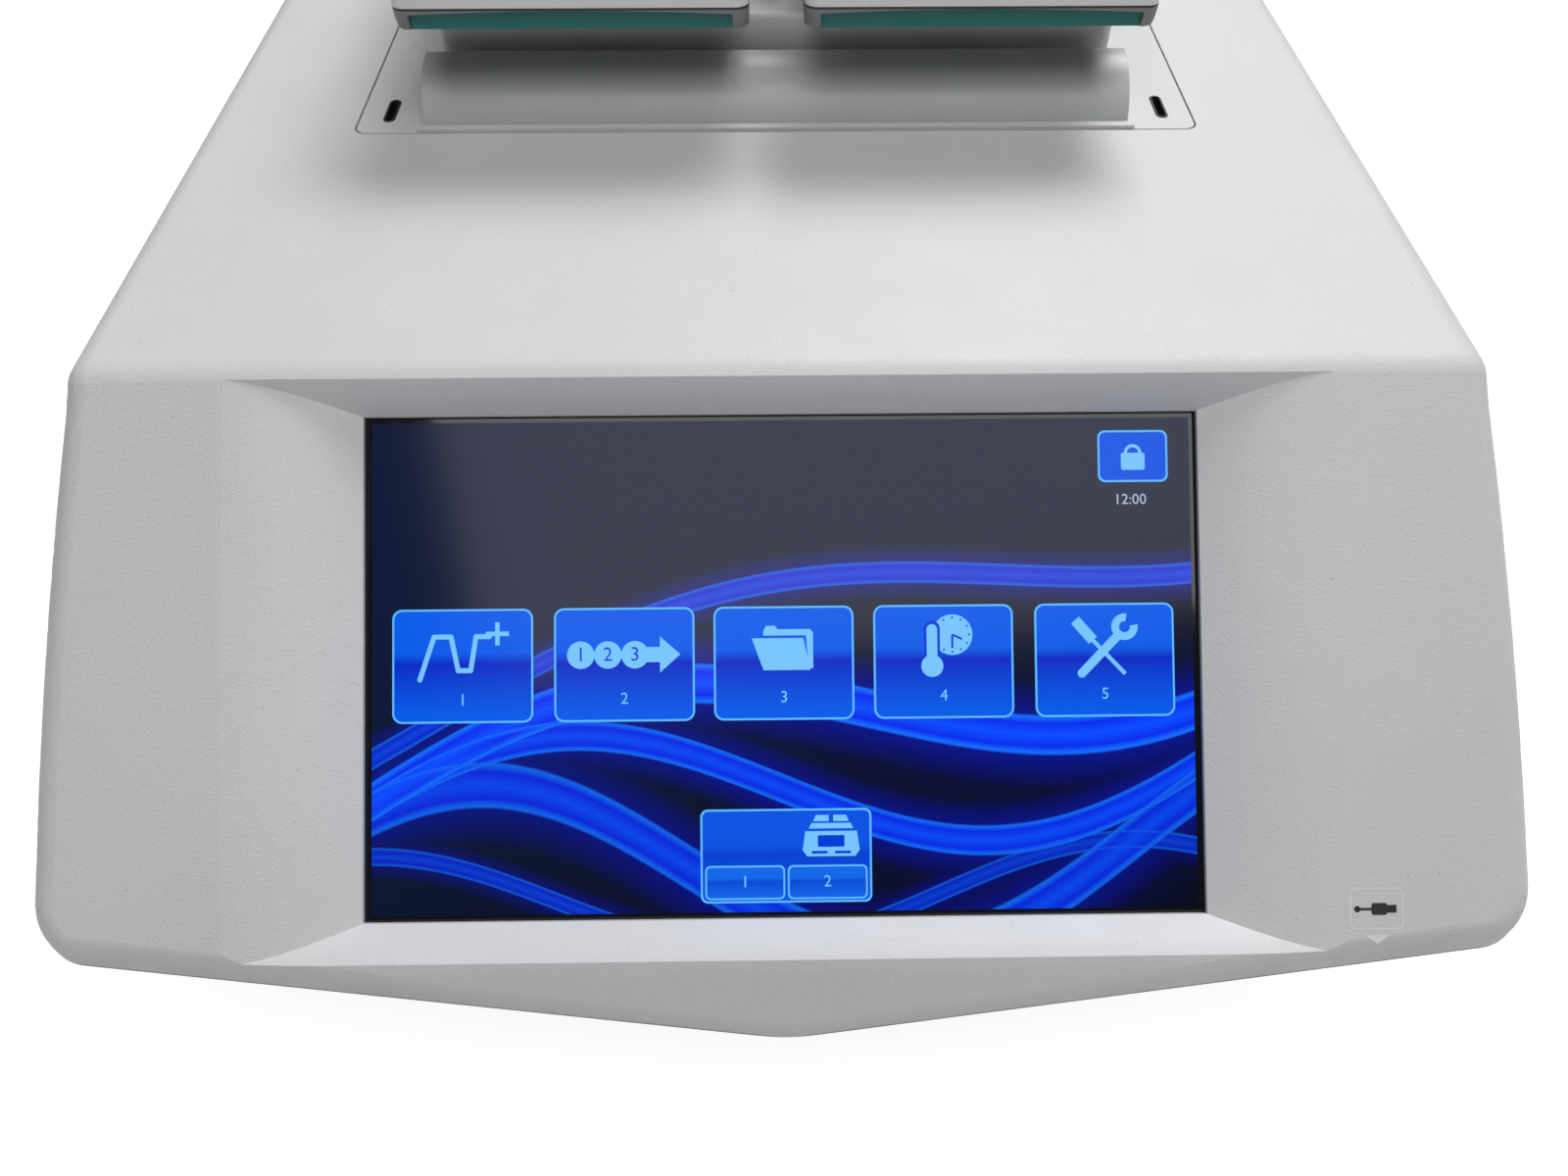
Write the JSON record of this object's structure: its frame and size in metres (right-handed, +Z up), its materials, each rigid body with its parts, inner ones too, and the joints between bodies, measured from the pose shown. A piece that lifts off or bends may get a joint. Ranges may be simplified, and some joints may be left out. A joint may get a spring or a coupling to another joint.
{
  "type": "thermal cycler",
  "caption": "Bench thermal cycler: wedge casing with a sloping touch screen, and a lift-out block module under paired lids with latch levers and pressure thumbwheels.",
  "frame": {"origin": "middle of the box's underside, at the height of the table under the feet", "axes": "+X to the operator's right, +Y to the back, +Z up"},
  "size_m": [0.3298, 0.46, 0.247],
  "materials": {
    "casing": "fine satin texture",
    "hull": "fine satin texture",
    "lid_shell": "spark-eroded texture",
    "module_plate": "satin",
    "bar": "silver satin",
    "grip": "satin",
    "thumbwheel": "satin",
    "dark_plastic": "satin",
    "port_metal": "bright",
    "screen_glass": "gloss",
    "display": "gloss",
    "rubber": "matte",
    "sheet_steel": "zinc plated",
    "rear_sheet": "fine powder coat",
    "supply_case": "satin",
    "circuit": "solder mask",
    "aluminium": "machined",
    "ceramic": "matte",
    "steel": "satin"
  },
  "bodies": {
    "chassis": {"base_tray": "hull", "top_cover": "casing", "feet": "rubber", "case_screws": "steel", "front_vent_left": "dark_plastic", "front_vent_right": "dark_plastic", "front_data_port": "port_metal", "display_gasket": "rubber", "touch_glass": "screen_glass", "lcd_panel": "display", "display_bracket": "sheet_steel", "controller_board": "circuit", "bay_tub": "sheet_steel", "fan_frame_left": "dark_plastic", "fan_frame_right": "dark_plastic", "power_supply": "supply_case", "main_board": "circuit", "rear_panel": "rear_sheet", "power_inlet": "dark_plastic", "rear_data_ports": "port_metal", "dock_connector": "dark_plastic"},
    "module": {"module_cover": "module_plate", "locking_bar_pins": "steel", "module_tray": "sheet_steel", "module_connector": "dark_plastic", "sample_block_left": "aluminium", "sample_block_right": "aluminium", "block_frame_left": "dark_plastic", "block_frame_right": "dark_plastic", "heat_pump_left": "ceramic", "heat_pump_right": "ceramic", "heat_sink_left": "aluminium", "heat_sink_right": "aluminium", "latch_keeper_left": "steel", "latch_keeper_right": "steel", "hinge_bracket_left": "steel", "hinge_bracket_right": "steel", "lid_hinge_pin_left": "steel", "lid_hinge_pin_right": "steel"},
    "bar": {"locking_bar": "bar"},
    "rocker": {"power_switch": "dark_plastic"},
    "lid_left": {"lid_frame_left": "aluminium", "lid_cover_left": "lid_shell", "lever_pins_left": "steel"},
    "lever_left": {"lid_lever_left": "lid_shell", "lever_grip_left": "grip", "latch_hook_left": "steel"},
    "heater_left": {"heater_plate_left": "aluminium"},
    "wheel_left": {"thumbwheel_left": "thumbwheel"},
    "fan_left": {"fan_rotor_left": "dark_plastic"},
    "lid_right": {"lid_frame_right": "aluminium", "lid_cover_right": "lid_shell", "lever_pins_right": "steel"},
    "lever_right": {"lid_lever_right": "lid_shell", "lever_grip_right": "grip", "latch_hook_right": "steel"},
    "heater_right": {"heater_plate_right": "aluminium"},
    "wheel_right": {"thumbwheel_right": "thumbwheel"},
    "fan_right": {"fan_rotor_right": "dark_plastic"}
  },
  "joints": [
    {"name": "module_lift", "type": "slide", "parent": "chassis", "child": "module", "axis": [0, 0, 1], "range_m": [0, 0.2]},
    {"name": "bar_tilt", "type": "hinge", "parent": "module", "child": "bar", "pos_m": [0, -0.00841, 0.18154], "axis": [-1, 0, 0], "range_deg": [0, 40]},
    {"name": "switch_rock", "type": "hinge", "parent": "chassis", "child": "rocker", "pos_m": [0.104, 0.221, 0.136], "axis": [-1, 0, 0], "range_deg": [0, 14]},
    {"name": "lid_left_hinge", "type": "hinge", "parent": "module", "child": "lid_left", "pos_m": [-0.05125, 0.156, 0.20498], "axis": [-1, 0, 0], "range_deg": [0, 75]},
    {"name": "lever_left_tilt", "type": "hinge", "parent": "lid_left", "child": "lever_left", "pos_m": [-0.05125, 0.022, 0.21298], "axis": [-1, 0, 0], "range_deg": [0, 25], "stiffness_Nm_per_rad": 0.06, "springref_deg": -17.19},
    {"name": "wheel_left_turn", "type": "hinge", "parent": "lid_left", "child": "wheel_left", "pos_m": [-0.05125, 0.068, 0.23298], "axis": [0, 0, 1], "range_deg": [-360, 360]},
    {"name": "heater_left_press", "type": "slide", "parent": "lid_left", "child": "heater_left", "axis": [0, 0, 1], "range_m": [-0.0015, 0.0015]},
    {"name": "fan_left_spin", "type": "hinge", "parent": "chassis", "child": "fan_left", "pos_m": [-0.05125, 0.068, 0.03], "axis": [0, 0, 1], "continuous": true},
    {"name": "lid_right_hinge", "type": "hinge", "parent": "module", "child": "lid_right", "pos_m": [0.05125, 0.156, 0.20498], "axis": [-1, 0, 0], "range_deg": [0, 75]},
    {"name": "lever_right_tilt", "type": "hinge", "parent": "lid_right", "child": "lever_right", "pos_m": [0.05125, 0.022, 0.21298], "axis": [-1, 0, 0], "range_deg": [0, 25], "stiffness_Nm_per_rad": 0.06, "springref_deg": -17.19},
    {"name": "wheel_right_turn", "type": "hinge", "parent": "lid_right", "child": "wheel_right", "pos_m": [0.05125, 0.068, 0.23298], "axis": [0, 0, 1], "range_deg": [-360, 360]},
    {"name": "heater_right_press", "type": "slide", "parent": "lid_right", "child": "heater_right", "axis": [0, 0, 1], "range_m": [-0.0015, 0.0015]},
    {"name": "fan_right_spin", "type": "hinge", "parent": "chassis", "child": "fan_right", "pos_m": [0.05125, 0.068, 0.03], "axis": [0, 0, 1], "continuous": true}
  ],
  "couplings": [
    {"joint": "wheel_left_turn", "follows": "heater_left_press", "rad_per_m": 4188.8},
    {"joint": "wheel_right_turn", "follows": "heater_right_press", "rad_per_m": 4188.8}
  ]
}
